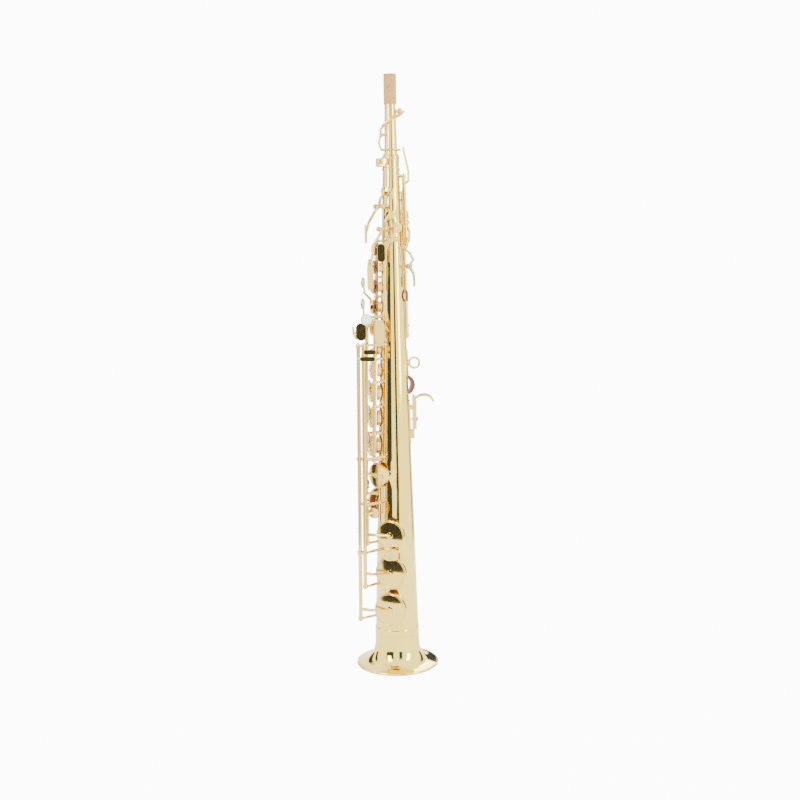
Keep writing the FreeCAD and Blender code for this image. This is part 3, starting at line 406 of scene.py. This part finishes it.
# height, azimuth, cup radius and tone-hole radius of each key on the tube
CUPS = {
    "low_b_flat_key": (72, 257, 18.7, 14.4), "low_b_key": (113, 257, 18.2, 13.9),
    "low_c_key": (155, 259, 16.4, 12.4), "low_c_sharp_key": (184, 125, 15.0, 11.2),
    "e_flat_key": (219, 215, 14.0, 10.2), "d_key": (250, 180, 12.0, 8.6),
    "e_key": (281, 180, 11.5, 8.2), "f_key": (309, 180, 11.0, 7.8),
    "f_sharp_key": (334, 180, 9.5, 6.6), "g_sharp_key": (357, 180, 8.5, 5.8),
    "g_key": (380, 180, 8.5, 5.6), "a_key": (403, 180, 8.0, 5.2),
    "bis_key": (425, 180, 8.0, 5.0), "b_key": (446, 180, 7.5, 4.6),
    "c_key": (465, 180, 7.0, 4.2), "side_b_flat_key": (457, 112, 6.5, 4.0),
    "side_c_key": (484, 107, 6.2, 3.8), "side_e_key": (518, 95, 5.8, 3.4),
    "palm_d_key": (488, 287, 6.0, 3.6), "palm_e_flat_key": (502, 262, 5.2, 3.2),
    "palm_f_key": (527, 245, 5.0, 3.0), "octave_vent_key": (505, 20, 3.6, 1.6),
}


def seat(z, az):
    """Matrix of the tube's outside at a place: X round it, Y up it, Z outwards, metres."""
    a = math.radians(az)
    lean = math.atan(TAPER)
    out = Vector((math.cos(a) * math.cos(lean), math.sin(a) * math.cos(lean), math.sin(lean)))
    side = Vector((-math.sin(a), math.cos(a), 0))
    up = out.cross(side)
    r = (TUBE_R0 - TAPER * z) * MM
    spot = Vector((math.cos(a) * r, math.sin(a) * r, z * MM))
    m = Matrix((side, up, out)).transposed().to_4x4()
    m.translation = spot
    return m


def as_it_rests(key):
    """Matrix that swings a key's piece from its closed place to where it rests."""
    if key not in OPEN_KEYS:
        return Matrix.Identity(4)
    joint = JOINT_OF[key]
    pivot = Matrix.Translation(Vector(joint["pos_m"]))
    swing = Matrix.Rotation(-math.radians(joint["range_deg"][1]), 4, Vector(joint["axis"]))
    return pivot @ swing @ pivot.inverted()


def turned(name, rings, segments=48):
    """A solid turned about Z: a filled circle drawn up ring by ring, in mm."""
    bpy.ops.object.select_all(action="DESELECT")
    r, z = rings[0]
    bpy.ops.mesh.primitive_circle_add(vertices=segments, radius=r * MM, fill_type="NGON",
                                      location=(0, 0, z * MM), enter_editmode=True)
    piece = bpy.context.object
    piece.name = name
    bpy.ops.mesh.select_all(action="SELECT")
    for new_r, new_z in rings[1:]:
        bpy.ops.mesh.extrude_region_move(
            TRANSFORM_OT_translate={"value": (0, 0, (new_z - z) * MM)})
        bpy.ops.transform.resize(value=(new_r / r, new_r / r, 1))
        r, z = new_r, new_z
    bpy.ops.mesh.select_all(action="SELECT")
    bpy.ops.mesh.normals_make_consistent(inside=False)
    bpy.ops.object.mode_set(mode="OBJECT")
    bpy.ops.object.transform_apply()
    return piece


def set_in_place(piece, matrix, mat, body, angle=35):
    """Move a piece made at the origin to its place and hand it to its body."""
    bpy.ops.object.select_all(action="DESELECT")
    piece.select_set(True)
    bpy.context.view_layer.objects.active = piece
    piece.matrix_world = matrix
    bpy.ops.object.transform_apply()
    bpy.ops.object.shade_smooth_by_angle(angle=math.radians(angle))
    piece.data.materials.clear()
    piece.data.materials.append(mat)
    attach(piece, body)
    return piece


for key, (z, az, r, hole) in CUPS.items():
    low = CHIMNEY + SEAT_GAP
    edge = r - CUP_WALL - PAD_FIT
    round_by = 0.35 if r < 7 else 0.6
    place = as_it_rests(key) @ seat(z, az)
    face = low + 0.15
    pressed = face + PAD_RING_DEPTH
    rings = [(0.3, face), (hole - 0.5, face), (hole - 0.1, pressed), (hole + 0.8, pressed),
             (hole + 1.2, face)]
    rings += [(edge - round_by, low + 0.02), (edge - round_by * 0.3, low + round_by * 0.3),
              (edge, low + round_by), (edge, low + PAD_THICK - 0.02)]
    pad = turned("pad_" + key.replace("_key", ""), rings, 64 if r > 10 else 40)
    set_in_place(pad, place, leather, key)
    cad_pad = key.replace("_key", "_pad")
    if cad_pad in nodes:
        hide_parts(cad_pad)
    if hole > LEAST_HOLE_FOR_RESONATOR:
        dome_r = hole * RESONATOR_SHARE
        dome = turned("resonator_" + key.replace("_key", ""),
                      [(dome_r, low + 0.14), (dome_r, low + 0.02), (dome_r * 0.8, low - 0.24),
                       (dome_r * 0.45, low - 0.42), (dome_r * 0.16, low - 0.5),
                       (dome_r * 0.15, low - 0.66), (0.3, low - 0.72)], 32)
        set_in_place(dome, place, key_brass, key)

# The little pad under the neck's octave key, glued in its cup on the vent pipe.
NECK_R = 6.9                    # radius of the neck at its foot
NECK_FOOT_Z = 567.0
NECK_NARROWING = 0.8 / 51.5
NECK_VENT_Z = 611.0
NECK_VENT = Vector((NECK_R - NECK_NARROWING * (NECK_VENT_Z - NECK_FOOT_Z), 0, NECK_VENT_Z)) * MM
facing_back = Matrix.Translation(NECK_VENT) @ Matrix.Rotation(math.pi / 2, 4, "Y")
neck_pad = turned("pad_neck_octave", [(0.9, 2.1), (2.4, 2.02), (2.95, 2.2), (3.15, 2.6),
                                      (3.15, 4.35)], 32)
set_in_place(neck_pad, facing_back, leather, "neck_octave_key")

# ---------------------------------------------------------------------------
# Rolled tone-hole rims: the drawn brass is turned over on itself into a smooth
# bead, so that a pad closes on a round edge.
# ---------------------------------------------------------------------------
RIM_WIRE = 0.42                 # radius of the bead
RIM_OUT = 0.35                  # from the hole's edge to the middle of the bead
RIM_UP = 0.08                   # how far the bead stands over the chimney


def spun_ring(name, major, minor, height, around=48, across=10):
    """A bead of wire round Z: a small circle spun about the axis, in mm."""
    bpy.ops.object.select_all(action="DESELECT")
    bpy.ops.mesh.primitive_circle_add(vertices=across, radius=minor * MM,
                                      location=(major * MM, 0, height * MM),
                                      rotation=(math.pi / 2, 0, 0), enter_editmode=True)
    piece = bpy.context.object
    piece.name = name
    bpy.ops.mesh.select_all(action="SELECT")
    bpy.ops.mesh.spin(steps=around, angle=2 * math.pi, center=(0, 0, 0), axis=(0, 0, 1))
    bpy.ops.mesh.select_all(action="SELECT")
    bpy.ops.mesh.remove_doubles(threshold=0.00001)
    bpy.ops.mesh.normals_make_consistent(inside=False)
    bpy.ops.object.mode_set(mode="OBJECT")
    bpy.ops.object.transform_apply()
    return piece


for key, (z, az, r, hole) in CUPS.items():
    rim = spun_ring("tone_hole_rim_" + key.replace("_key", ""), hole + RIM_OUT, RIM_WIRE,
                    CHIMNEY - RIM_WIRE + RIM_UP, 48 if hole > 5 else 32)
    set_in_place(rim, seat(z, az), body_brass, "instrument", 60)

# ---------------------------------------------------------------------------
# Cup trim: a turned step round the back of each cup and a boss where the arm
# is soldered to it.
# ---------------------------------------------------------------------------
CUP_ROOF = 1.0
CUP_DOME = 0.06                 # rise of the dome as a share of the cup's radius
BEAD_IN = 1.5                   # from the cup's edge to the middle of the bead
BEAD_R = 0.3
BEAD_UP = 0.16                  # and from the cup's shoulder up to it
for key, (z, az, r, hole) in CUPS.items():
    top = CHIMNEY + SEAT_GAP + PAD_THICK + CUP_ROOF
    trim = spun_ring("cup_bead_" + key.replace("_key", ""), r - BEAD_IN, BEAD_R, top + BEAD_UP,
                     64 if r > 10 else 40, 8)
    set_in_place(trim, as_it_rests(key) @ seat(z, az), key_brass, key, 60)
    crown = top + CUP_DOME * r
    boss = turned("cup_boss_" + key.replace("_key", ""),
                  [(r * 0.22, crown - 0.25), (r * 0.22, crown + 0.2), (r * 0.17, crown + 0.4),
                   (r * 0.1, crown + 0.45)], 32)
    set_in_place(boss, as_it_rests(key) @ seat(z, az), key_brass, key)

# ---------------------------------------------------------------------------
# Pivot screws: hardened steel, one slotted cheese head at each end of a rod,
# turned up against the post's ball.
# ---------------------------------------------------------------------------
HEAD_R = 1.55
HEAD_H = 0.75
SLOT_W = 0.4
SLOT_TURN = 1.1                 # radians from one screw to the next, as they come to rest
BALL_HALF = 1.6                 # from the middle of a post's ball to its flat face
ROD_STAND_OFF = 0.55            # from a ball's face to the foot of its screw
CROSS_STAND_OFF = 0.05          # the same on the short rods


def at(z, az, rho):
    """A point at a height, an azimuth and a distance from the tube's axis, in metres."""
    a = math.radians(az)
    return Vector((math.cos(a) * rho, math.sin(a) * rho, z)) * MM


def above(z, az, h):
    """A point at a height and an azimuth, some way out from the tube's wall."""
    return at(z, az, TUBE_R0 - TAPER * z + h)


# the two ends of each long rod, and the heights of its lowest and highest screw
ROD_ENDS = [
    (at(58, 216, 49.4), at(370, 216, 46.4), 61, 363.5),
    (at(58, 222.5, 46.9), at(370, 222.5, 43.4), 98, 363.5),
    (at(140, 217, 39.6), at(190, 217, 38.8), 145, 188),
    (at(174, 203, 36.4), at(394, 203, 30.5), 175, 393),
    (at(192, 180, 32.8), at(238, 180, 31.6), 196, 234),
    (above(236, 215, 9.7), above(388, 215, 9.7), None, 388),
    (above(368.5, 145, 9.0), above(474.5, 145, 9.0), 368.5, 474.5),
    (above(326, 78, 8.5), above(465, 78, 8.5), 326, 465),
    (above(348, 63, 8.5), above(492, 63, 8.5), 348, 492),
    (above(370, 48, 8.5), above(526, 48, 8.5), 370, 526),
    (above(471, 345, 4.6), above(543, 345, 4.6), 471, 543),
]
# height, azimuth, distance from the wall, half width and screwed sides of each key
# whose short rod lies across the tube
CROSS_LEVERS = ((476, 270, 8.0, 3.2, (-1, 1)), (487, 240, 8.0, 3.0, (-1, 1)),
                (511, 222, 8.0, 3.0, (-1, 1)), (494, 20, 5.5, 2.4, (-1,)),
                (447, 350, 6.5, 3.4, (-1, 1)))
CROSS_GAP = 2.5                 # from the key's tube to the middle of the ball

head = turned("pivot_screw", [(HEAD_R, 0.0), (HEAD_R, HEAD_H * 0.7), (HEAD_R * 0.9, HEAD_H),
                              (HEAD_R * 0.5, HEAD_H + 0.04)], 24)
bpy.ops.object.select_all(action="DESELECT")
bpy.ops.mesh.primitive_cube_add(size=1, location=(0, 0, HEAD_H * MM))
slot = bpy.context.object
slot.scale = (SLOT_W * MM, 4 * HEAD_R * MM, HEAD_H * MM)
bpy.ops.object.transform_apply(location=False, rotation=False, scale=True)
bpy.ops.object.select_all(action="DESELECT")
head.select_set(True)
bpy.context.view_layer.objects.active = head
cut = head.modifiers.new("slot", "BOOLEAN")
cut.object = slot
cut.operation = "DIFFERENCE"
bpy.ops.object.modifier_apply(modifier="slot")
bpy.data.objects.remove(slot)


def screw_at(place, way, name, turn):
    """A copy of the pivot screw, its foot at a point and its head looking along way."""
    copy = bpy.data.objects.new(name, head.data.copy())
    bpy.context.scene.collection.objects.link(copy)
    spin = Matrix.Rotation(turn, 4, "Z")
    m = Matrix.Translation(place) @ way.to_track_quat("Z", "Y").to_matrix().to_4x4() @ spin
    return set_in_place(copy, m, ground_steel, "instrument", 30)


count = 0
for low, high, first, last in ROD_ENDS:
    way = (high - low).normalized()
    for z, side in ((first, -1), (last, 1)):
        if z is None:                   # a plain end: the E flat cup opens past it
            continue
        spot = low + (high - low) * ((z * MM - low.z) / (high.z - low.z))
        count += 1
        screw_at(spot + way * side * (BALL_HALF + ROD_STAND_OFF) * MM, way * side,
                 f"pivot_screw_{count:02d}", count * SLOT_TURN)
for z, az, h, half, sides in CROSS_LEVERS:
    spot = above(z, az, h)
    a = math.radians(az)
    way = Vector((-math.sin(a), math.cos(a), 0))
    for side in sides:
        count += 1
        reach = half + CROSS_GAP + BALL_HALF + CROSS_STAND_OFF
        screw_at(spot + way * side * reach * MM, way * side, f"pivot_screw_{count:02d}",
                 count * SLOT_TURN)

# Two more hold the guard between the big bell keys.
GUARD_SEAT = seat(135, 262)
GUARD_SCREW_UP = 4.4
GUARD_TOP = 18.86               # face of the guard over the tube's wall
GUARD_TURN = 0.4
guard_out = GUARD_SEAT.to_3x3() @ Vector((0, 0, 1))
for up in (-GUARD_SCREW_UP, GUARD_SCREW_UP):
    count += 1
    screw_at(GUARD_SEAT @ (Vector((0, up, GUARD_TOP)) * MM), guard_out,
             f"guard_screw_{count:02d}", GUARD_TURN)
bpy.data.objects.remove(head)

# ---------------------------------------------------------------------------
# Clamp screw of the neck receiver: turned brass, its head cut with a straight
# knurl for the fingers.
# ---------------------------------------------------------------------------
KNURL_TEETH = 32
KNURL_R = 3.3                   # all that lies outside this is knurled
KNURL_CUT = 0.93
LUG_AZ = math.radians(205)
LUG_RHO = 13.2                  # the screw's distance from the tube's axis
LUG_Z = 558.5
lug_out = Vector((math.cos(LUG_AZ), math.sin(LUG_AZ), 0))
lug_side = Vector((-math.sin(LUG_AZ), math.cos(LUG_AZ), 0))
clamp = turned("neck_clamp_screw_knurled",
               [(0.9, -6.0), (1.2, -5.6), (1.2, 4.55), (2.15, 4.6), (2.15, 5.6), (2.9, 5.7),
                (3.38, 6.2), (3.38, 10.2), (2.9, 10.7), (1.4, 10.78)], 2 * KNURL_TEETH)
for v in clamp.data.vertices:
    step = round(math.atan2(v.co.y, v.co.x) / math.pi * KNURL_TEETH)
    v.select = step % 2 == 1 and Vector(v.co[:2]).length > KNURL_R * MM
for edge in clamp.data.edges:
    edge.select = False
for face in clamp.data.polygons:
    face.select = False
bpy.ops.object.select_all(action="DESELECT")
clamp.select_set(True)
bpy.context.view_layer.objects.active = clamp
bpy.ops.object.mode_set(mode="EDIT")
bpy.ops.mesh.select_mode(type="VERT")
bpy.ops.transform.resize(value=(KNURL_CUT, KNURL_CUT, 1))
bpy.ops.object.mode_set(mode="OBJECT")
place = Matrix((lug_out, lug_side.cross(lug_out), lug_side)).transposed().to_4x4()
place.translation = (lug_out * LUG_RHO + Vector((0, 0, LUG_Z))) * MM
set_in_place(clamp, place, key_brass, "clamp_screw", 25)
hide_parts("neck_clamp_screw")

# ---------------------------------------------------------------------------
# Pearl beside the G sharp plate: a disc of shell turned to a low dome and
# pressed into its round brass cup, where the little finger rests.
# ---------------------------------------------------------------------------
GS_PEARL = Vector((-28.3, -28.6, 391.5)) * MM
gs_pearl = turned("pearl_g_sharp", [(5.45, 0.82), (5.45, 1.9), (5.0, 2.25), (3.6, 2.5),
                                    (1.8, 2.62), (0.4, 2.65)], 48)
set_in_place(gs_pearl, Matrix.Translation(GS_PEARL) @ Matrix.Rotation(math.pi / 2, 4, "X"),
             pearl, "g_sharp_key")

plain = [[list(corner) for corner in cad_bounds], [list(corner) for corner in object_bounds()]]
